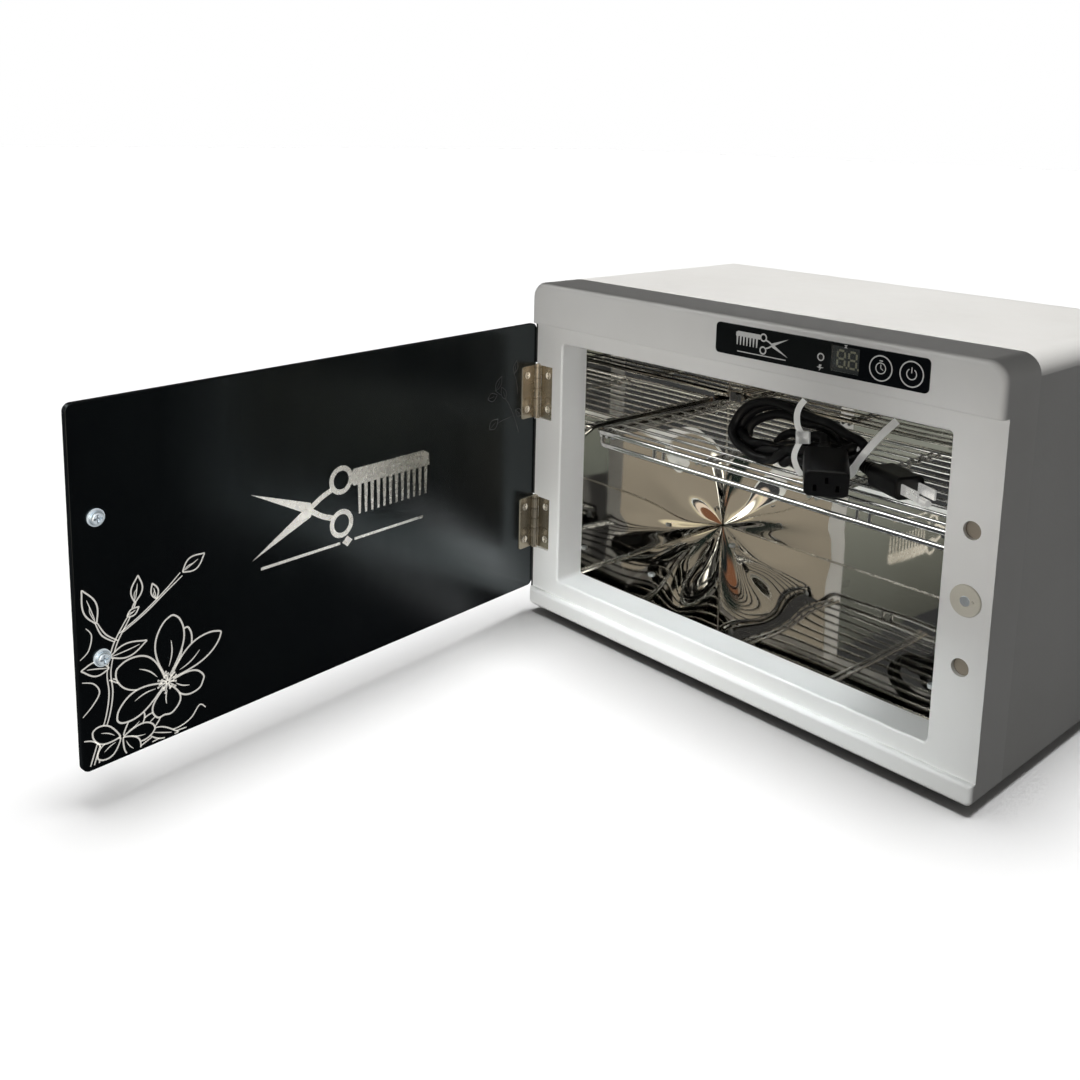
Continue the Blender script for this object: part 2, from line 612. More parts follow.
def m_silver_print():
    """Mirror-silver decoration on the door: bright towards the free edge, dark towards the hinges."""
    t = NT("mat_silver_print")
    col = t.mix(t.ramp(t.noise(60, 4), [(0.35, 0.0), (0.7, 1.0)]), (0.86, 0.85, 0.82), (0.66, 0.64, 0.60))
    r = t.ramp(t.noise(200, 3), [(0.3, 0.22), (0.8, 0.34)])
    nrm = t.bump(t.noise(220, 2), 0.04, 0.0001)
    sep = t.add("ShaderNodeSeparateXYZ")
    t.link(t.coord.outputs["Object"], sep.inputs[0])
    along = t.math("MULTIPLY", t.math("ADD", sep.outputs["Y"], 0.1059), -1.0 / 0.365)
    tilt = t.math("ADD", along, t.math("MULTIPLY", t.math("SUBTRACT", sep.outputs["Z"], 0.118), -1.1))
    glow = t.ramp(tilt, [(0.34, 0.05), (0.50, 0.34), (0.60, 0.52), (0.95, 0.62)])
    fleck = t.ramp(t.noise(9, 3, 0.5), [(0.35, 0.84), (0.7, 1.0)])
    em = t.mix(1.0, glow, fleck, "MULTIPLY")
    em = t.mix(1.0, em, (0.97, 0.94, 0.87), "MULTIPLY")
    return t.done(t.principled(col, r, 1.0, nrm, **{"Emission Color": em, "Emission Strength": 1.0}))


def m_faint():
    t = NT("mat_faint_print")
    col = t.mix(t.ramp(t.noise(80, 4), [(0.35, 0.0), (0.7, 1.0)]), (0.075, 0.078, 0.08), (0.03, 0.031, 0.033))
    return t.done(t.principled(col, t.ramp(t.noise(300, 3), [(0.3, 0.3), (0.8, 0.45)]), 0.0, t.bump(t.noise(1500, 2), 0.06, 0.00005)))


def m_ink():
    t = NT("mat_print_grey")
    col = t.mix(t.ramp(t.noise(900, 4), [(0.35, 0.0), (0.75, 1.0)]), (0.40, 0.40, 0.39), (0.33, 0.33, 0.32))
    nrm = t.bump(t.noise(700, 2), 0.06, 0.00003)
    return t.done(t.principled(col, t.ramp(t.noise(300, 3), [(0.3, 0.45), (0.8, 0.6)]), 0.0, nrm, **{"Emission Color": (0.8, 0.8, 0.78), "Emission Strength": 0.16}))


def m_window():
    t = NT("mat_smoked_window")
    tr = t.add("ShaderNodeBsdfTransparent")
    t.put(tr.inputs["Color"], t.ramp(t.noise(700, 3), [(0.3, (0.50, 0.50, 0.49)), (0.8, (0.44, 0.44, 0.43))]))
    gl = t.add("ShaderNodeBsdfGlossy")
    t.put(gl.inputs["Color"], (0.9, 0.9, 0.9))
    t.put(gl.inputs["Roughness"], t.ramp(t.noise(120, 5), [(0.3, 0.07), (0.8, 0.15)]))
    fr = t.add("ShaderNodeFresnel")
    fr.inputs["IOR"].default_value = 1.5
    t.link(t.bump(t.noise(60, 3), 0.04, 0.0005), fr.inputs["Normal"])
    mx = t.add("ShaderNodeMixShader")
    t.link(fr.outputs[0], mx.inputs[0])
    t.link(tr.outputs[0], mx.inputs[1])
    t.link(gl.outputs[0], mx.inputs[2])
    return t.done(mx.outputs[0])


def m_lamp_glass():
    t = NT("mat_lamp_glass")
    tr = t.add("ShaderNodeBsdfTransparent")
    t.put(tr.inputs["Color"], (0.93, 0.95, 0.97))
    gl = t.principled(t.mix(t.noise(40, 3), (0.85, 0.88, 0.9), (0.7, 0.75, 0.8)), t.ramp(t.noise(120, 4), [(0.3, 0.05), (0.8, 0.12)]), 0.0,
                      t.bump(t.noise(80, 2), 0.03, 0.0004))
    lw = t.add("ShaderNodeLayerWeight")
    lw.inputs["Blend"].default_value = 0.35
    mx = t.add("ShaderNodeMixShader")
    t.put(mx.inputs[0], t.math("ADD", t.math("MULTIPLY", lw.outputs["Facing"], 0.75), 0.12, clamp=True))
    t.link(tr.outputs[0], mx.inputs[1])
    t.link(gl, mx.inputs[2])
    return t.done(mx.outputs[0])


def m_wires():
    """Internal hook-up wire: red, blue and yellow-green by place."""
    t = NT("mat_wire_pvc")
    w = t.ramp(t.noise(11, 0), [(0.42, (0.45, 0.03, 0.02)), (0.5, (0.02, 0.06, 0.35)), (0.58, (0.55, 0.50, 0.06))])
    nrm = t.bump(t.noise(900, 2), 0.1, 0.00008)
    return t.done(t.principled(w, t.ramp(t.noise(200, 4), [(0.3, 0.38), (0.8, 0.55)]), 0.0, nrm))


def m_board():
    t = NT("mat_board_green")
    trace = t.ramp(t.noise(420, 1, 0.3, stretch=(1, 1, 0.25)), [(0.52, 0.0), (0.55, 1.0)])
    col = t.mix(trace, (0.015, 0.10, 0.045), (0.03, 0.17, 0.075))
    return t.done(t.principled(col, t.ramp(t.noise(200, 4), [(0.3, 0.25), (0.8, 0.4)]), 0.0, t.bump(trace, 0.2, 0.00005)))


def m_segment():
    t = NT("mat_segment_olive")
    col = t.mix(t.noise(1200, 3), (0.50, 0.49, 0.33), (0.40, 0.39, 0.27))
    return t.done(t.principled(col, t.ramp(t.noise(400, 3), [(0.3, 0.45), (0.8, 0.6)]), 0.0, t.bump(t.noise(2000, 2), 0.1, 0.00005),
                               **{"Emission Color": (0.56, 0.55, 0.42), "Emission Strength": 0.78}))


M = {
    "white_abs": m_white_abs(),
    "white_steel": m_white_steel(),
    "galvanised_steel": m_metal("mat_galvanised", (0.52, 0.53, 0.54), (0.40, 0.41, 0.42), 0.30, 0.48, 90, 0.12),
    "zinc_screw": m_metal("mat_zinc_screw", (0.70, 0.74, 0.77), (0.60, 0.64, 0.67), 0.26, 0.40, 300, 0.04, None, 0.03, 0.3, 0.08, 0.55),
    "black_rubber": m_plastic("mat_black_rubber", (0.022, 0.022, 0.022), (0.035, 0.034, 0.033), 0.62, 0.85, 1400, 0.35, 0.2, 0.3),
    "mirror_steel": m_mirror(),
    "chrome_wire": m_metal("mat_chrome_wire", (0.86, 0.86, 0.85), (0.70, 0.70, 0.69), 0.07, 0.20, 380, 0.04, None, 0.0, 0.1),
    "lamp_glass": m_lamp_glass(),
    "lamp_aluminium": m_metal("mat_lamp_aluminium", (0.70, 0.70, 0.71), (0.58, 0.58, 0.59), 0.28, 0.42, 300, 0.06, (1, 12, 12)),
    "brass_contact": m_metal("mat_contact", (0.80, 0.74, 0.60), (0.64, 0.56, 0.40), 0.14, 0.28, 600, 0.05, (1, 8, 8), 0.04, 0.25),
    "black_nylon": m_plastic("mat_black_nylon", (0.020, 0.020, 0.021), (0.030, 0.030, 0.031), 0.42, 0.62, 1100, 0.2, 0.25),
    "wire_pvc": m_wires(),
    "gloss_black": m_gloss_black(),
    "smoked_window": m_window(),
    "board_green": m_board(),
    "segment_olive": m_segment(),
    "led_lens": m_plastic("mat_led_lens", (0.030, 0.031, 0.031), (0.022, 0.022, 0.022), 0.12, 0.25, 700, 0.05, 0.1, 0.5),
    "hinge_nickel": m_metal("mat_hinge_nickel", (0.47, 0.42, 0.33), (0.38, 0.34, 0.265), 0.20, 0.30, 60, 0.01, None, 0.01, 0.2, 0.05, 1.0, glow_leaf),
    "hinge_screw": m_metal("mat_hinge_screw", (0.66, 0.62, 0.53), (0.55, 0.51, 0.43), 0.22, 0.34, 300, 0.02, None, 0.0, 0.3, 0.05, 1.0, glow_hinge_screw),
    "door_screw": m_metal("mat_door_screw", (0.78, 0.86, 0.92), (0.66, 0.74, 0.80), 0.22, 0.34, 300, 0.02, None, 0.0, 0.3, 0.05, 1.0, glow_door_screw),
    "blade_nickel": m_metal("mat_blade_nickel", (0.90, 0.89, 0.86), (0.78, 0.77, 0.74), 0.22, 0.34, 500, 0.03, None, 0.02, 0.3, 0.08, 1.0, lambda t, c: lit(t, c, (0.38, 0.38, 0.38))),
    "door_black": m_door(),
    "cream_plastic": m_plastic("mat_cream_plastic", (0.66, 0.63, 0.55), (0.58, 0.55, 0.47), 0.34, 0.5, 800, 0.12, 0.15, 0.45, 0.1),
    "cord_black": m_plastic("mat_cord_black", (0.005, 0.005, 0.0055), (0.009, 0.009, 0.0095), 0.30, 0.46, 700, 0.10, 0.06, 0.35),
    "tie_nylon": m_plastic("mat_tie_nylon", (0.86, 0.86, 0.84), (0.78, 0.78, 0.75), 0.30, 0.45, 700, 0.06, 0.1, 0.5, 0.2, 0.16),
    "silver_print": m_silver_print(),
    "print_grey": m_ink(),
    "faint_print": m_faint(),
    "module_grey": m_plastic("mat_module_grey", (0.050, 0.054, 0.054), (0.040, 0.043, 0.043), 0.4, 0.55, 600, 0.04, 0.0, 0.4, 0.0, 1.7),
    "bend_line": m_metal("mat_bend_line", (0.88, 0.85, 0.80), (0.74, 0.71, 0.66), 0.18, 0.34, 120, 0.05),
}

slot_of = {s["node"]: s["material_slot"] for s in frame["record"]["subparts"]}
special = {"display_module": "module_grey", "hinge_frame_screws": "hinge_screw", "hinge_door_screws": "hinge_screw",
           "handle_screws": "door_screw", "plug_blades": "blade_nickel"}
for name, ob in nodes.items():
    mat = M[special.get(name, slot_of[name])]
    ob.data.materials.clear()
    ob.data.materials.append(mat)


# ---------------------------------------------------------------- door print
def petal(c, ang, L, Wd, curl=0.0, notch=0.0, n=15):
    """Outline of one petal from the heart c: own shape, open at its foot."""
    a = math.radians(ang)
    ux, uz = math.cos(a), math.sin(a)
    left, right = [], []
    for i in range(n + 1):
        t = i / n
        w = Wd * math.sin(math.pi * min(1.0, t ** 0.85)) ** 0.8 * (0.35 + 0.65 * t) * 1.25
        bend = curl * L * t * t
        x = L * (0.06 + 0.94 * t)
        if t > 0.88:
            x -= notch * L * (t - 0.88) / 0.12 * 0.5
        left.append((c[0] + ux * x - uz * (w + bend), c[1] + uz * x + ux * (w + bend)))
        right.append((c[0] + ux * x - uz * (-w + bend), c[1] + uz * x + ux * (-w + bend)))
    tip = (c[0] + ux * L * (1.02 - notch) - uz * curl * L, c[1] + uz * L * (1.02 - notch) + ux * curl * L)
    return left[:-1] + [tip] + right[:-1][::-1]


def leaf(c, ang, L, Wd, curl=0.12):
    a = math.radians(ang)
    ux, uz = math.cos(a), math.sin(a)
    left, right, mid = [], [], []
    n = 10
    for i in range(n + 1):
        t = i / n
        w = Wd * math.sin(math.pi * t) * (1.1 - 0.35 * t)
        b = curl * L * math.sin(math.pi * 0.5 * t)
        x = L * t
        left.append((c[0] + ux * x - uz * (w + b), c[1] + uz * x + ux * (w + b)))
        right.append((c[0] + ux * x - uz * (-w + b), c[1] + uz * x + ux * (-w + b)))
        mid.append((c[0] + ux * x - uz * b, c[1] + uz * x + ux * b))
    return left + right[::-1][1:-1], mid


def inside(p, poly):
    x, y = p
    c = False
    j = len(poly) - 1
    for i in range(len(poly)):
        xi, yi = poly[i]
        xj, yj = poly[j]
        if (yi > y) != (yj > y) and x < (xj - xi) * (y - yi) / (yj - yi) + xi:
            c = not c
        j = i
    return c


class Drawing:
    """Line drawing with the hidden parts left out: shapes are given front to back."""

    def __init__(self, ink):
        self.ink, self.front = ink, []

    def stroke(self, pts, width, closed=False, taper=0.0, smooth=True, skip=0):
        P = catmull(pts, closed, 0.5) if smooth else [Vector(q) for q in pts]
        if closed:
            P = P + [P[0]]
        front = self.front[: len(self.front) - skip]
        run = []
        runs = []
        for q in P:
            ok = not any(inside((q.x, q.y), f) for f in front) and q.x < 366.4 and q.y > 15.6
            if ok:
                run.append(q)
            else:
                if len(run) > 3:
                    runs.append(run)
                run = []
        if len(run) > 3:
            runs.append(run)
        for r in runs:
            self.ink.line([(q.x, q.y) for q in r], width, taper=taper if len(runs) == 1 else 0.25, smooth=False)

    def shape(self, outline, width, details=(), closed=True, taper=0.0):
        self.stroke(outline, width, closed, taper)
        poly = [(q.x, q.y) for q in catmull(outline, True, 1.0)]
        for d, wd, tp in details:
            self.stroke(d, wd, False, tp)
        self.front.append(poly)


def arm(c, ang, l0, l1, bow, n=5):
    a = math.radians(ang)
    ux, uz = math.cos(a), math.sin(a)
    out = []
    for i in range(n + 1):
        t = i / n
        l = l0 + (l1 - l0) * t
        b = bow * math.sin(math.pi * t)
        out.append((c[0] + ux * l - uz * b, c[1] + uz * l + ux * b))
    return out


art = Ink(lambda s, n, z: door_pt(s, n, z), 0.06, -0.01)
LW = 1.0
dr_ = Drawing(art)
C0 = (315.0, 49.0)
# stamens of the open blossom
for i in range(18):
    a = 2 * math.pi * i / 18 + 0.12 * math.sin(i * 2.3)
    r0, r1 = 0.6, 4.6 + 1.4 * math.sin(i * 1.9)
    art.line([(C0[0] + math.cos(a) * r0, C0[1] + math.sin(a) * r0), (C0[0] + math.cos(a) * r1, C0[1] + math.sin(a) * r1)], 0.7, taper=0.3)
    art.disc((C0[0] + math.cos(a) * (r1 + 0.5), C0[1] + math.sin(a) * (r1 + 0.5)), 0.65, 10)
dr_.front.append([(C0[0] + 3.4 * math.cos(0.4 * i), C0[1] + 3.4 * math.sin(0.4 * i)) for i in range(16)])
# broad petals, front ones first
for ang, L, Wd, curl, notch in ((272, 22, 10.5, 0.10, 0.14), (346, 35, 9.0, -0.10, 0.07), (204, 26, 8.4, -0.08, 0.10),
                                (147, 41, 8.6, 0.09, 0.04), (94, 41, 10.8, 0.04, 0.06), (36, 37, 11.5, -0.08, 0.06),
                                (118, 33, 8.0, -0.04, 0.05)):
    dr_.shape(petal(C0, ang, L, Wd, curl, notch), LW,
              [(arm(C0, ang + 3, L * 0.22, L * 0.60, L * 0.03), 0.8, 0.85)])
# half-open blossom lower down
C1 = (344.0, 27.0)
for ang, L, Wd, curl in ((232, 17, 5.6, 0.05), (192, 21, 6.2, -0.05), (150, 17, 5.4, -0.06), (24, 20, 6.0, 0.08), (330, 17, 5.6, 0.05)):
    dr_.shape(petal(C1, ang, L, Wd, curl, 0.06), LW * 0.9, [(arm(C1, ang + 5, L * 0.25, L * 0.7, L * 0.03), 0.6, 0.85)])
# buds and their cups
for c, ang, L, Wd in (((333, 103), 96, 15, 3.7), ((303, 112), 150, 16, 4.6), ((356, 98), 68, 22, 4.2), ((320, 101), 74, 10, 2.4), ((338, 96), 150, 8, 2.2)):
    o, mline = leaf(c, ang, L, Wd, 0.05)
    dr_.shape(o, LW * 0.85, [([mline[1], mline[4], mline[7]], 0.6, 0.7), ([mline[0], (mline[3][0] + 1.2, mline[3][1] + 0.4), mline[5]], 0.5, 0.8)])
# leaves
for c, ang, L, Wd in (((350, 70), 8, 16, 4.4), ((349, 76), 168, 22, 4.4), ((318, 34), 322, 26, 5.4), ((330, 24), 196, 22, 3.6)):
    o, mline = leaf(c, ang, L, Wd, 0.10)
    dr_.shape(o, LW * 0.85, [(mline[:9], 0.65, 0.6)])
# branch: two lines from the lower free corner up past the flower
for off in (-1.1, 1.1):
    dr_.stroke([(362 + off, 17), (357 + off, 30), (352 + off, 42), (349.5 + off, 55), (350 + off, 68), (346 + off, 82), (339 + off, 93)], LW * 0.8, taper=0.3)
    dr_.stroke([(339 + off, 93), (335.5 + off * 0.7, 98), (333 + off * 0.4, 103)], LW * 0.8, taper=0.2)
    dr_.stroke([(349 + off, 63), (340 + off, 57), (330 + off, 53 + off)], LW * 0.8, taper=0.2)
    dr_.stroke([(345 + off, 84), (352 + off, 90), (356 + off * 0.5, 98)], LW * 0.8, taper=0.3)
    dr_.stroke([(342 + off, 88), (328 + off, 95), (314 + off, 104), (304 + off * 0.6, 111 + off)], LW * 0.8, taper=0.3)
# petal edges running off the lower corner
dr_.stroke([(366, 47), (360, 52), (356, 58), (359, 64), (365.5, 67)], LW * 0.8, taper=0.5)
dr_.stroke([(366, 33), (361, 31), (357, 26), (358, 17)], LW * 0.8, taper=0.4)
dr_.stroke([(334, 16.5), (322, 20), (310, 18.5), (301, 21), (295, 27), (291, 24)], LW * 0.8, taper=0.5)
dr_.stroke([(326, 16.2), (316, 17), (304, 16.4)], LW * 0.7, taper=0.6)
dr_.stroke([(366, 80), (361, 84), (359, 92), (362, 97)], LW * 0.7, taper=0.5)
door_art = art.make("door_blossom_print")
door_art.data.materials.append(M["silver_print"])
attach(door_art, "door")

# faint sprig by the hinges, where the print only mirrors the dark room
sprig = Ink(lambda s, n, z: door_pt(s, n, z), 0.05, -0.01)
ds_ = Drawing(sprig)
for c, ang, L, Wd in (((44, 176), 118, 12, 2.9), ((52, 171), 165, 10, 3.4), ((33, 168), 60, 11, 2.8), ((24, 186), 100, 10, 2.6), ((22, 158), 210, 9, 3.0), ((50, 148), 140, 11, 4.0)):
    o, mline = leaf(c, ang, L, Wd, 0.08)
    ds_.shape(o, 0.55, [([mline[0], mline[4], mline[7]], 0.4, 0.7)])
ds_.stroke([(18, 140), (24, 154), (32, 167), (44, 176)], 0.6, taper=0.5)
ds_.stroke([(24, 154), (38, 152), (50, 148)], 0.5, taper=0.5)
ds_.stroke([(20, 170), (21, 178), (24, 186)], 0.5, taper=0.5)
sprig_o = sprig.make("door_sprig_print")
sprig_o.data.materials.append(M["faint_print"])
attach(sprig_o, "door")


def comb_and_scissors(ink, cx, cz, k, flip=1.0, teeth=13):
    """Plain comb and scissors pictogram, k = millimetres per unit, 100 x 34 units."""
    def P(x, z):
        return (cx + flip * x * k, cz + z * k)
    # comb: spine and teeth, upper left
    ink.prism([P(-50, 7.2), P(-49.5, 13), P(-46, 15), P(-4, 15), P(-2, 13), P(-2, 9), P(-4, 7.2)][:: (1 if flip > 0 else -1)])
    for i in range(teeth):
        pitch = 44.0 / teeth
        x = -48.6 + i * pitch
        ink.prism([P(x, 7.2), P(x + pitch * 0.56, 7.2), P(x + pitch * 0.44, -6.5), P(x + pitch * 0.12, -6.5)][:: (1 if flip > 0 else -1)])
    # scissors: two blades crossing at a pivot, two finger rings
    h0 = ink.h
    ink.prism([P(50, 15.5), P(22, 0.6), P(19, 2.6), P(20, 5.0)][:: (1 if flip > 0 else -1)])
    ink.h = h0 * 1.25
    ink.prism([P(50, -13.0), P(22, 3.6), P(19, 1.0), P(20, -1.4)][:: (1 if flip > 0 else -1)])
    ink.h = h0 * 1.5
    ink.line([P(21, 2.0), P(14, -2.5), P(8, -5.0)], 2.4 * k, smooth=True, step=0.3)
    ink.line([P(21, 2.0), P(14, 6.0), P(8, 8.2)], 2.4 * k, smooth=True, step=0.3)
    ink.h = h0 * 1.75
    ink.ring(P(3.2, -8.6), 5.4 * k, 2.3 * k, 48)
    ink.ring(P(3.2, 11.4), 5.4 * k, 2.3 * k, 48)
    ink.h = h0


emb = Ink(lambda s, n, z: door_pt(s, n, z), 0.06, -0.01)
comb_and_scissors(emb, 183.0, 124.0, 1.46, 1.0, 12)
for sa, sb in ((116.0, 177.0), (189.0, 250.0)):
    emb.prism([(sa, 97.4), (sb, 97.4), (sb, 99.2), (sa, 99.2)])
emb.prism([(178.8, 98.3), (183.0, 94.6), (187.2, 98.3), (183.0, 102.0)])
emblem = emb.make("door_pictogram_print")
emblem.data.materials.append(M["silver_print"])
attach(emblem, "door")

# ------------------------------------------------------------ header prints
H0 = 0.5      # strip stands this much proud of the header face
pr = Ink(lambda x, n, z: face_pt(x, H0 + n, z), 0.04, -0.01)
comb_and_scissors(pr, 27.5, 239.0, 0.40, 1.0, 7)
pr.prism([(9.0, 231.9), (46.0, 231.9), (46.0, 232.5), (9.0, 232.5)])
pr.ring((70.8, 238.4), 2.05, 0.75, 48)
# little plug mark under the lamp, hour-glass mark above the display
pr.line([(68.6, 232.2), (73.0, 232.2)], 0.35, smooth=False)
pr.prism([(70.0, 233.9), (71.9, 233.9), (70.9, 232.4), (72.1, 232.4), (69.9, 229.9), (70.6, 231.7), (69.5, 231.7)])
pr.prism([(86.2, 248.0), (88.6, 248.0), (87.4, 247.1)])
pr.prism([(86.2, 246.9 - 0.6), (87.4, 247.1), (88.6, 246.9 - 0.6)])
panel_print = pr.make("control_strip_print")
panel_print.data.materials.append(M["print_grey"])
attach(panel_print, "cabinet")

tk = Ink(lambda x, n, z: face_pt(x, H0 + n, z), 0.04, -0.01)
T = (110.9, 238.4)
tk.ring(T, 7.15, 0.72, 96)
tk.ring(T, 3.1, 0.55, 60)
tk.line([(T[0], T[1]), (T[0], T[1] + 2.2)], 0.5, smooth=False)
tk.line([(T[0], T[1]), (T[0] + 1.6, T[1] - 0.9)], 0.5, smooth=False)
tk.line([(T[0] - 1.1, T[1] + 4.3), (T[0] + 1.1, T[1] + 4.3)], 0.6, smooth=False)
timer_print = tk.make("timer_key_print")
timer_print.data.materials.append(M["print_grey"])
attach(timer_print, "timer_button")

pk = Ink(lambda x, n, z: face_pt(x, H0 + n, z), 0.04, -0.01)
Q = (130.3, 238.4)
pk.ring(Q, 7.15, 0.72, 96)
pk.ring(Q, 3.0, 0.6, 60, 122, 418)
pk.line([(Q[0], Q[1] + 0.6), (Q[0], Q[1] + 3.9)], 0.6, smooth=False)
power_print = pk.make("power_key_print")
power_print.data.materials.append(M["print_grey"])
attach(power_print, "power_button")

# --------------------------------------------------------------- mains cord
SH = 148.25 - 6.2                 # top of the shelf's frame rails
CR = 3.35
U = Vector((1.0, 0.0, 0.0))
WV = Vector((0.0, 1.0, 0.0))


def q(X, Yp, y):
    """Cord point laid along a sight line, pushed up if it would sink into the shelf."""
    p = sight(720 + X / 6.0, 380 + Yp / 6.0, y=y)
    p.z = max(p.z, SH + CR + 0.3)
    return p


turns = []
# each turn: lower limb through the front tie, right-hand bend, back along the top, left-hand loop
spec = [
    dict(low=0, bend=(868, 440), ret=[(760, 330), (660, 262), (560, 232)], top=[(420, 168), (300, 128)], left=[(170, 160), (98, 262), (108, 352)], bot=[(200, 425), (340, 470)], dy=0),
    dict(low=1, bend=(828, 400), ret=[(748, 392), (716, 320), (640, 280)], top=[(500, 248), (390, 205), (290, 205)], left=[(196, 238), (142, 300), (150, 372)], bot=[(250, 430), (370, 455)], dy=7),
    dict(low=2, bend=(838, 476), ret=[(770, 420), (690, 375), (610, 300)], top=[(545, 230), (470, 168), (370, 150)], left=[(250, 170), (150, 225), (122, 318)], bot=[(190, 402), (330, 440)], dy=12),
    dict(low=3, bend=(812, 508), ret=[(735, 440), (640, 400), (540, 352)], top=[(440, 312), (385, 330)], left=[(340, 372), (338, 420), (352, 462)], bot=[(400, 482), (440, 486)], dy=3),
    dict(low=4, bend=(780, 520), ret=[(700, 470), (600, 452), (520, 440)], top=[(420, 424), (330, 402)], left=[(236, 384), (190, 392), (206, 416)], bot=[(300, 446), (400, 470)], dy=9),
]
LOW = [((470, 470), (560, 500), (690, 500)), ((470, 420), (560, 440), (700, 440)), ((472, 512), (560, 528), (680, 532)), ((474, 382), (570, 402), (700, 412)), ((476, 446), (570, 470), (700, 476))]
YL0 = [-52, -50, -44, -42, -40]
pts = []
for t_i, sp_ in enumerate(spec):
    y0 = YL0[t_i]
    for X, Yp in LOW[sp_["low"]]:
        pts.append(q(X, Yp, y0))
    pts.append(q(sp_["bend"][0], sp_["bend"][1], y0 + 7))
    for k, (X, Yp) in enumerate(sp_["ret"]):
        pts.append(q(X, Yp, -34 + 5 * k + sp_["dy"] * 0.6))
    for X, Yp in sp_["top"]:
        pts.append(q(X, Yp, -24 + sp_["dy"] * 0.7))
    for k, (X, Yp) in enumerate(sp_["left"]):
        pts.append(q(X, Yp, -26 - 5 * k + sp_["dy"] * 0.5))
    for X, Yp in sp_["bot"]:
        pts.append(q(X, Yp, -46 + sp_["dy"] * 0.4))

CONN_D = Vector((0.57, -0.745, -0.345)).normalized()
CONN_O = Vector((61.0, -83.0, 157.9 - 6.2)) - CONN_D * 34.0
PLUG_D = Vector((0.914, -0.406, 0.0)).normalized()
PLUG_O = Vector((50.0, -22.0, SH + 7.7)) + PLUG_D * 14.0
c1 = CONN_O - CONN_D * 5.0
c2 = PLUG_O - PLUG_D * 13.0
start_tail = [c1, c1 - CONN_D * 11.0, c1 - CONN_D * 20.0 + Vector((-6, -3, -4)), q(452, 440, -50)]
end_tail = [q(476, 500, -42), q(600, 540, -38), q(720, 560, -30), c2 - PLUG_D * 9.0, c2]
coil_path = spline3(start_tail + pts + end_tail, 1.5)
# ease the strands apart where they would run through one another
cell = {}
for it in range(14):
    cell.clear()
    for i, p in enumerate(coil_path):
        cell.setdefault((int(p.x // 8), int(p.y // 8), int(p.z // 8)), []).append(i)
    push = [Vector() for _ in coil_path]
    for i, p in enumerate(coil_path):
        kx, ky, kz = int(p.x // 8), int(p.y // 8), int(p.z // 8)
        for ax in (-1, 0, 1):
            for ay in (-1, 0, 1):
                for az in (-1, 0, 1):
                    for j in cell.get((kx + ax, ky + ay, kz + az), ()):
                        if abs(i - j) > 12:
                            d = p - coil_path[j]
                            l = d.length
                            if 1e-6 < l < 2 * CR:
                                push[i] += d / l * (2 * CR - l) * 0.22
    n_c = len(coil_path)
    for i in range(8, n_c - 8):
        v = push[i]
        if v.length > 1.2:
            v = v.normalized() * 1.2
        coil_path[i] = coil_path[i] + v
    sm = [p.copy() for p in coil_path]
    for i in range(8, n_c - 8):
        sm[i] = coil_path[i] * 0.5 + (coil_path[i - 1] + coil_path[i + 1]) * 0.25
        sm[i].z = max(sm[i].z, SH + CR + 0.2)
    coil_path = sm
cord = tube("power_cord_coil", [p * MM for p in coil_path], CR * MM, 20)
cord.data.materials.append(M["cord_black"])
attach(cord, "shelf")
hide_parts("power_cord")


def sleeve(name, origin, direction, x0, x1, r0, r1, ribs=6):
    """Ribbed strain relief along direction."""
    prof = []
    n = ribs * 6
    for i in range(n + 1):
        t = i / n
        r = r0 + (r1 - r0) * t
        ph = (t * ribs) % 1.0
        if 0.55 < ph < 0.92 and 0.04 < t < 0.97:
            r -= 0.75
        prof.append((x0 + (x1 - x0) * t, r))
    path = [(origin + direction * x) * MM for x, _ in prof]
    return tube(name, path, 0.004, 26, radii=[r * MM for _, r in prof])


for nm, o, d, a in (("connector_strain_relief", CONN_O, CONN_D, (-6.2, 8.6, 4.6, 8.1)), ("plug_strain_relief", PLUG_O, PLUG_D, (-14.2, 6.6, 4.45, 6.4))):
    s = sleeve(nm, o, d, *a)
    s.data.materials.append(M["cord_black"])
    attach(s, "shelf")


def strap(name, path, width_dirs, w, th=1.15):
    """Flat strap along a path of points (mm), width along the given directions."""
    P = spline3(path, 1.5)
    m = len(P) - 1
    verts, faces = [], []
    for i, p in enumerate(P):
        t = i / m
        f = t * (len(width_dirs) - 1)
        k = min(int(f), len(width_dirs) - 2)
        wd = (width_dirs[k] * (1 - (f - k)) + width_dirs[k + 1] * (f - k)).normalized()
        T = (P[min(i + 1, m)] - P[max(i - 1, 0)]).normalized()
        wd = (wd - T * wd.dot(T)).normalized()
        n = T.cross(wd).normalized()
        for a_, b_ in ((-1, -1), (1, -1), (1, 1), (-1, 1)):
            verts.append((p + wd * a_ * w / 2 + n * b_ * th / 2) * MM)
    for i in range(m):
        a, b = 4 * i, 4 * (i + 1)
        for k in range(4):
            faces.append((a + k, b + k, b + (k + 1) % 4, a + (k + 1) % 4))
    faces.append((3, 2, 1, 0))
    faces.append((4 * m, 4 * m + 1, 4 * m + 2, 4 * m + 3))
    ob = mesh_obj(name, verts, faces, False)
    bm = bmesh.new()
    bm.from_mesh(ob.data)
    bmesh.ops.recalc_face_normals(bm, faces=bm.faces)
    bm.to_mesh(ob.data)
    bm.free()
    return ob


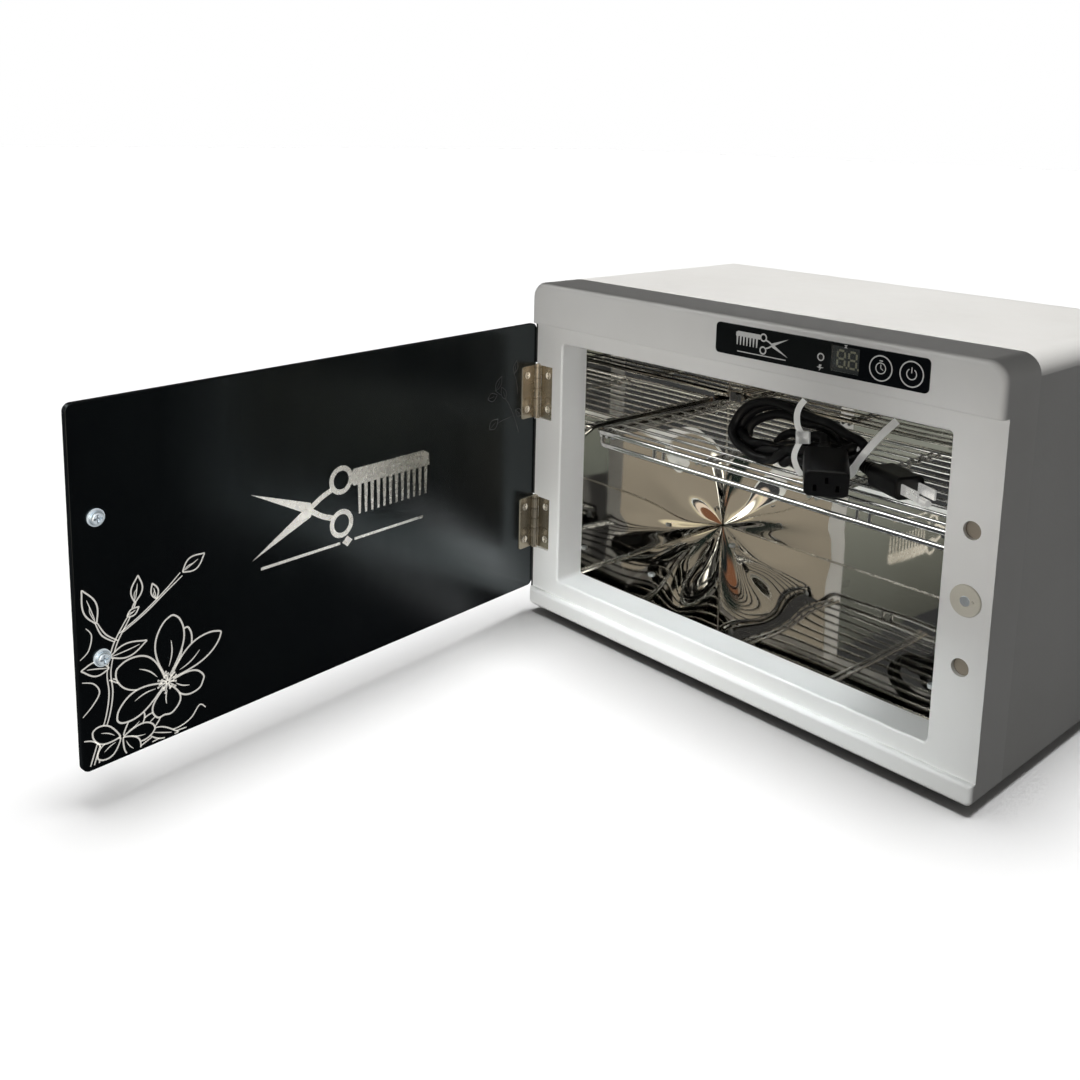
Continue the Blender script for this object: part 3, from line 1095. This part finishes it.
def block(name, c, ax, ay, az, sx, sy, sz, r):
    bm = bmesh.new()
    bmesh.ops.create_cube(bm, size=1.0)
    for v in bm.verts:
        o = v.co.copy()
        v.co = (c + ax * o.x * sx + ay * o.y * sy + az * o.z * sz) * MM
    bmesh.ops.bevel(bm, geom=list(bm.edges), offset=r * MM, segments=3, profile=0.6, affect="EDGES")
    me = bpy.data.meshes.new(name)
    bm.to_mesh(me)
    bm.free()
    ob = bpy.data.objects.new(name, me)
    scene.collection.objects.link(ob)
    for p_ in me.polygons:
        p_.use_smooth = True
    return ob


EYE = -FWD
# front tie: wraps the lower limb, head on top, free tail standing up in front
xa = sight(803, 437, y=-57.5)
wrap = [sight(797, 447, y=-58.5), sight(794, 457, y=-59), sight(797, 468, y=-58), sight(802, 475, y=-53), sight(808, 477, y=-44),
        sight(812, 474, y=-36), sight(815, 464, y=-31), sight(814, 450, y=-32), sight(810, 440, y=-42), sight(805, 437, y=-52), xa]
wrap = [Vector((p.x, p.y, max(p.z, SH + 1.0))) for p in wrap]
side = (RIGHT + Vector((0, 0, 0.0))).normalized()
t1 = strap("cable_tie_front", [xa] + wrap, [side] * 4, 3.7)
tail1 = [xa + Vector((0, 0, 1)), sight(798, 427, y=-58), sight(797, 415, y=-56), sight(800, 406, y=-53), sight(805, 400, y=-50)]
tl1 = strap("cable_tie_front_tail", tail1, [side, side], 3.9)
hd1 = block("cable_tie_front_head", sight(803, 437.5, y=-59.0), side, FWD, DOWN, 6.2, 4.6, 5.4, 1.3)
# rear tie: round the right-hand bend, long straight tail to the upper right
xb = sight(856, 466, y=-46)
dirw = (RIGHT * 0.80 + DOWN * 0.60).normalized()
wrap2 = [xb, sight(852, 474, y=-44), sight(846, 476, y=-36), sight(842, 470, y=-30), sight(843, 456, y=-28), sight(850, 446, y=-32), sight(858, 447, y=-42), sight(860, 457, y=-47), xb]
wrap2 = [Vector((p.x, p.y, max(p.z, SH + 1.0))) for p in wrap2]
t2 = strap("cable_tie_rear", wrap2, [dirw] * 4, 3.9)
tail2 = [sight(851, 471.5, y=-49), sight(861, 458, y=-49.5), sight(872, 445, y=-46), sight(884, 432.5, y=-40), sight(897, 421, y=-33)]
tl2 = strap("cable_tie_rear_tail", tail2, [dirw, dirw], 4.6)
for o in (t1, tl1, hd1, t2, tl2):
    o.data.materials.append(M["tie_nylon"])
    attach(o, "shelf")
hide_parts("cable_ties")

# dark rubber bead at the hinge side of the frame, in three lengths between the hinges; it stays
# inside the circle round the pin that the door's inner face never enters
for k_, (za, zb) in enumerate(((12.0, 44.6), (88.4, 147.6), (191.4, 222.0))):
    prof = [(-184.95, -106.15), (-186.30, -106.30), (-186.36, -105.90), (-186.32, -105.45), (-186.18, -105.0), (-185.88, -104.5), (-185.48, -104.1), (-184.95, -103.8)]
    vv = [Vector((a, b, z_)) * MM for z_ in (za, zb) for a, b in prof]
    n_ = len(prof)
    ff = [tuple(range(n_))[::-1], tuple(n_ + i for i in range(n_))] + [(i, (i + 1) % n_, n_ + (i + 1) % n_, n_ + i) for i in range(n_)]
    st_ = mesh_obj("hinge_side_strip_%d" % k_, vv, ff, False)
    st_.data.materials.append(M["black_rubber"])
    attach(st_, "cabinet")

# small bend radii of the mirror liner, seen as bright hairlines in the corners
bx0, bx1, by1, bz0 = -157.5, 153.5, 93.6, 25.3
bends = []
for k_, (pa, pb) in enumerate((((bx0, by1, bz0), (bx0, by1, 224.0)), ((bx0, -80.0, bz0), (bx0, by1, bz0)), ((bx0, by1, bz0), (bx1, by1, bz0)),
                               ((bx1, by1, bz0), (bx1, by1, 224.0)), ((bx1, -80.0, bz0), (bx1, by1, bz0)))):
    a_, b_ = Vector(pa), Vector(pb)
    cen = Vector((-2.0, 0.0, 120.0))
    inw = Vector((0.25 if a_.x < 0 else -0.25, -0.25 if a_.y > 90 else 0.0, 0.25 if b_.z < 30 else 0.0))
    o_ = tube("liner_bend_%d" % k_, [(a_ + inw + (b_ - a_) * t_) * MM for t_ in (0.0, 0.25, 0.5, 0.75, 1.0)], 0.55 * MM, 12)
    o_.data.materials.append(M["bend_line"])
    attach(o_, "cabinet")
    bends.append(o_)

# ---------------------------------------------------- smooth shading for CAD
for name, ob in nodes.items():
    me = ob.data
    for p in me.polygons:
        p.use_smooth = True
    try:
        me.set_sharp_from_angle(angle=math.radians(32))
    except Exception:
        pass

# --------------------------------------------------------------------- stage
AMBIENT = 0.13
E_KEY, E_LOW, E_SKIM, E_POST, E_POST_R, E_SILL, E_SIDE, E_TOP, E_SKY = 5.8, 0.067, 0.03, 0.115, 0.0149, 0.021, 0.3, 0.3, 3.4
# room features for reflections: colour, azimuth range, elevation range, softness
ROOM = [
    ((0.34, 0.305, 0.25), -70, -28, -30, 52, 5),      # sand-coloured backdrop behind the camera
    ((0.24, 0.22, 0.185), -70, -28, 22, 52, 12),      # greyer towards its top
    ((0.22, 0.10, 0.055), -82, -66, -30, 18, 3),      # brown upright to the left of it
    ((0.020, 0.030, 0.026), -84, -62, 18, 60, 4),     # dark shape over it
    ((0.015, 0.02, 0.02), -106, -82, -30, 50, 4),     # dark figure
    ((0.020, 0.026, 0.024), -64, -48, 31, 75, 4),     # dark above
    ((3.0, 3.0, 2.8), -48, -30, 32, 60, 4),           # high window
    ((3.2, 3.2, 3.0), -37, -22, -8, 24, 3),           # window
    ((0.95, 0.86, 0.62), -66, -40, -14, 6, 4),        # pale gold low band
    ((4.5, 4.5, 4.4), -165, -112, 30, 52, 5),         # high window to the left, catches the wires
    ((1.2, 1.2, 1.2), -20, 30, 20, 36, 6),            # bright band to the right
]
FLOOR_Z = -0.0062
fl = mesh_obj("stage_floor", [(-12, -12, FLOOR_Z), (12, -12, FLOOR_Z), (12, 12, FLOOR_Z), (-12, 12, FLOOR_Z)], [(0, 1, 2, 3)], False)
fl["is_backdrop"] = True
t = NT("mat_stage_floor")
lp = t.add("ShaderNodeLightPath")
pale = t.mix(t.noise(1.2, 3), (0.90, 0.90, 0.90), (0.88, 0.88, 0.88))
geo = t.add("ShaderNodeNewGeometry")
sepf = t.add("ShaderNodeSeparateXYZ")
t.link(geo.outputs["Position"], sepf.inputs[0])
# mirrors and gloss see a sand-coloured counter in front, a dim room elsewhere
front = t.ramp(t.math("MULTIPLY", sepf.outputs["Y"], -1.0), [(0.55, 0.0), (0.80, 1.0)])
right_m = t.ramp(t.math("ADD", sepf.outputs["X"], 0.2), [(0.12, 0.0), (0.26, 1.0)])
cnt = t.math("MULTIPLY", front, right_m)
sand = t.mix(t.noise(9.0, 4), (0.80, 0.68, 0.56), (0.66, 0.55, 0.45))
dim = t.mix(t.noise(2.0, 3), (0.050, 0.052, 0.055), (0.035, 0.036, 0.038))
warm = t.mix(cnt, dim, sand)
colr = t.mix(lp.outputs["Is Glossy Ray"], pale, warm)
colr = t.mix(lp.outputs["Is Diffuse Ray"], colr, (0.10, 0.10, 0.10))
bs = t.add("ShaderNodeBsdfDiffuse")
t.put(bs.inputs["Color"], colr)
fl.data.materials.append(t.done(bs.outputs[0]))

# --------------------------------------------------------------------- world
w = bpy.data.worlds.new("studio")
scene.world = w
w.use_nodes = True
nt = w.node_tree
nt.nodes.clear()


def wn(kind, **kw):
    n = nt.nodes.new(kind)
    for k, v in kw.items():
        setattr(n, k, v)
    return n


def wval(sock, v):
    if isinstance(v, (int, float)):
        sock.default_value = v
    else:
        nt.links.new(v, sock)


def wmath(op, a, b=0.0, c=None, clamp=False):
    n = wn("ShaderNodeMath", operation=op, use_clamp=clamp)
    wval(n.inputs[0], a)
    wval(n.inputs[1], b)
    if c is not None:
        wval(n.inputs[2], c)
    return n.outputs[0]


def band(x, lo, hi, soft):
    """1 between lo and hi, soft edges."""
    up = wmath("DIVIDE", wmath("SUBTRACT", x, lo - soft / 2), soft, clamp=True)
    dn = wmath("DIVIDE", wmath("SUBTRACT", hi + soft / 2, x), soft, clamp=True)
    return wmath("MULTIPLY", up, dn)


wo = wn("ShaderNodeOutputWorld")
wl = wn("ShaderNodeLightPath")
tc = wn("ShaderNodeTexCoord")
sp = wn("ShaderNodeSeparateXYZ")
nt.links.new(tc.outputs["Generated"], sp.inputs[0])
X_, Y_, Z_ = sp.outputs["X"], sp.outputs["Y"], sp.outputs["Z"]
az = wmath("MULTIPLY", wmath("ARCTAN2", Y_, X_), 180.0 / math.pi)      # degrees, -90 straight in front
el = wmath("MULTIPLY", wmath("ARCSINE", Z_), 180.0 / math.pi)
# the room that gloss and mirrors see: dim, a sand band in front, a window, a dark figure
cur = None


def over(col, fac):
    global cur
    if cur is None:
        r = wn("ShaderNodeRGB")
        r.outputs[0].default_value = tuple(col) + (1,)
        cur = r.outputs[0]
        return
    m = wn("ShaderNodeMix", data_type="RGBA", blend_type="MIX")
    wval(m.inputs[0], fac)
    nt.links.new(cur, m.inputs[6])
    m.inputs[7].default_value = tuple(col) + (1,)
    cur = m.outputs[2]


over((0.040, 0.041, 0.043), 0)
over((0.17, 0.16, 0.15), band(el, -25, 8, 8))
for col, a0, a1, e0, e1, so in ROOM:
    over(col, wmath("MULTIPLY", band(az, a0, a1, so), band(el, e0, e1, so)))
bgc = wn("ShaderNodeBackground")
bgc.inputs["Color"].default_value = (1, 1, 1, 1)
bgc.inputs["Strength"].default_value = 1.0
bgg = wn("ShaderNodeBackground")
nt.links.new(cur, bgg.inputs["Color"])
bgg.inputs["Strength"].default_value = 1.0
bgd = wn("ShaderNodeBackground")
bgd.inputs["Color"].default_value = (1.0, 0.985, 0.95, 1)
# diffuse light from the room: stronger near the horizon than overhead
up_ = wmath("MAXIMUM", Z_, 0.0)
wval(bgd.inputs["Strength"], wmath("MULTIPLY", wmath("SUBTRACT", 1.70, wmath("MULTIPLY", up_, 1.50)), AMBIENT))
m1 = wn("ShaderNodeMixShader")
m2 = wn("ShaderNodeMixShader")
nt.links.new(wl.outputs["Is Glossy Ray"], m1.inputs[0])
nt.links.new(bgd.outputs[0], m1.inputs[1])
nt.links.new(bgg.outputs[0], m1.inputs[2])
nt.links.new(wl.outputs["Is Camera Ray"], m2.inputs[0])
nt.links.new(m1.outputs[0], m2.inputs[1])
nt.links.new(bgc.outputs[0], m2.inputs[2])
nt.links.new(m2.outputs[0], wo.inputs["Surface"])


def aim(ob, target):
    d = (Vector(target) - ob.location).normalized()
    ob.rotation_mode = "QUATERNION"
    ob.rotation_quaternion = d.to_track_quat("-Z", "Y")


def area(name, loc, target, size, power, color=(1, 1, 1), size_y=None):
    ld = bpy.data.lights.new(name, "AREA")
    ld.energy = power
    ld.color = color
    ld.shape = "RECTANGLE"
    ld.size = size
    ld.size_y = size_y or size
    ob = bpy.data.objects.new(name, ld)
    scene.collection.objects.link(ob)
    ob.location = loc
    aim(ob, target)
    return ob


floor_col = bpy.data.collections.new("floor_only")
floor_col.objects.link(fl)
sun_d = bpy.data.lights.new("floor_sun", "SUN")
sun_d.energy = 3.5
sun_d.angle = math.radians(30)
sun = bpy.data.objects.new("floor_sun", sun_d)
scene.collection.objects.link(sun)
sun.location = (0, 0, 3)
aim(sun, (0.12, -0.17, 0.0))
sun.light_linking.receiver_collection = floor_col
sun.visible_glossy = False

obj_col = bpy.data.collections.new("object_only")
top_col = bpy.data.collections.new("case_top_only")
top_col.objects.link(nodes["case_shell"])
key = area("key", (0.04, -1.6, 0.06), (0.0, -0.1, 0.12), 0.26, E_KEY, (1.0, 0.98, 0.94), 0.3)
low = area("low_fill", (0.0, -0.235, 0.150), (0.0, -0.098, 0.004), 0.37, E_LOW, (0.94, 0.99, 1.0), 0.03)
low.data.spread = math.radians(56)
sill = area("sill_fill", (-0.03, -0.098, 0.205), (-0.03, -0.088, 0.02), 0.26, E_SILL, (0.94, 0.99, 1.0), 0.02)
sill.data.spread = math.radians(26)
skim = area("ledge_fill", (0.02, -0.50, 0.012), (0.0, -0.10, -0.004), 0.7, E_SKIM, (0.94, 0.99, 1.0), 0.03)
skim.data.spread = math.radians(50)
post = area("post_fill", (0.16, -0.42, 0.13), (-0.165, -0.10, 0.12), 0.05, E_POST, (1.0, 0.99, 0.965), 0.16)
post.data.spread = math.radians(70)
post_r = area("post_fill_right", (0.06, -0.42, 0.20), (0.172, -0.106, 0.165), 0.05, E_POST_R, (1.0, 0.99, 0.965), 0.12)
post_r.data.spread = math.radians(36)
side_l = area("side_left", (-1.4, -0.9, 0.5), (0.0, -0.1, 0.1), 1.0, E_SIDE, (0.96, 0.98, 1.0), 1.0)
top = area("top_soft", (-0.3, -0.3, 1.7), (0, 0, 0.1), 1.4, E_TOP, (0.97, 0.985, 1.0))
back = area("back_fill", (-1.1, 1.7, 0.55), (0.0, 0.1, 0.12), 0.8, 24.0, (1.0, 0.99, 0.965))
sky_d = bpy.data.lights.new("case_top_light", "SUN")
sky_d.energy = E_SKY
sky_d.angle = math.radians(3)
sky_d.color = (1.0, 0.985, 0.96)
sky = bpy.data.objects.new("case_top_light", sky_d)
scene.collection.objects.link(sky)
sky.location = (0, 0, 2)
aim(sky, (0.0, 0.0, 0.0))
for l in (key, low, skim, sill, post, post_r, top, side_l, back):
    l.light_linking.receiver_collection = obj_col
for l in (key, low, skim, sill, post, post_r, sky, back):
    l.visible_glossy = False
    l.visible_camera = False
sky.light_linking.receiver_collection = top_col

# -------------------------------------------------------------------- camera
cd = bpy.data.cameras.new("camera")
cam = bpy.data.objects.new("camera", cd)
scene.collection.objects.link(cam)
cd.sensor_width = 36.0
cd.sensor_fit = "HORIZONTAL"
cd.lens = F * 36.0 / 1080.0
cd.clip_start, cd.clip_end = 0.01, 60.0
mw = Matrix((RIGHT, -DOWN, -FWD)).transposed()
cam.rotation_mode = "QUATERNION"
cam.rotation_quaternion = mw.to_quaternion()
cam.location = CAM
# the picture is an off-centre crop: shift the lens while the camera stands at
# this spot, and not when it is moved round the object
for path, val in (("shift_x", (540.0 - CX) / 1080.0), ("shift_y", (CY - 540.0) / 1080.0)):
    dr = cd.driver_add(path).driver
    dr.type = "SCRIPTED"
    for ax in "XYZ":
        v = dr.variables.new()
        v.name = "p" + ax.lower()
        v.type = "TRANSFORMS"
        v.targets[0].id = cam
        v.targets[0].transform_type = "LOC_" + ax
        v.targets[0].transform_space = "WORLD_SPACE"
    dr.expression = "%.6f if abs(px - %.6f) + abs(py - %.6f) + abs(pz - %.6f) < 0.0005 else 0.0" % (val, CAM.x, CAM.y, CAM.z)
scene.camera = cam

scene.view_settings.view_transform = "Standard"
scene.view_settings.look = "None"
scene.view_settings.exposure = 0.0

for o in scene.objects:
    if o.type == "MESH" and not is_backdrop(o):
        obj_col.objects.link(o)
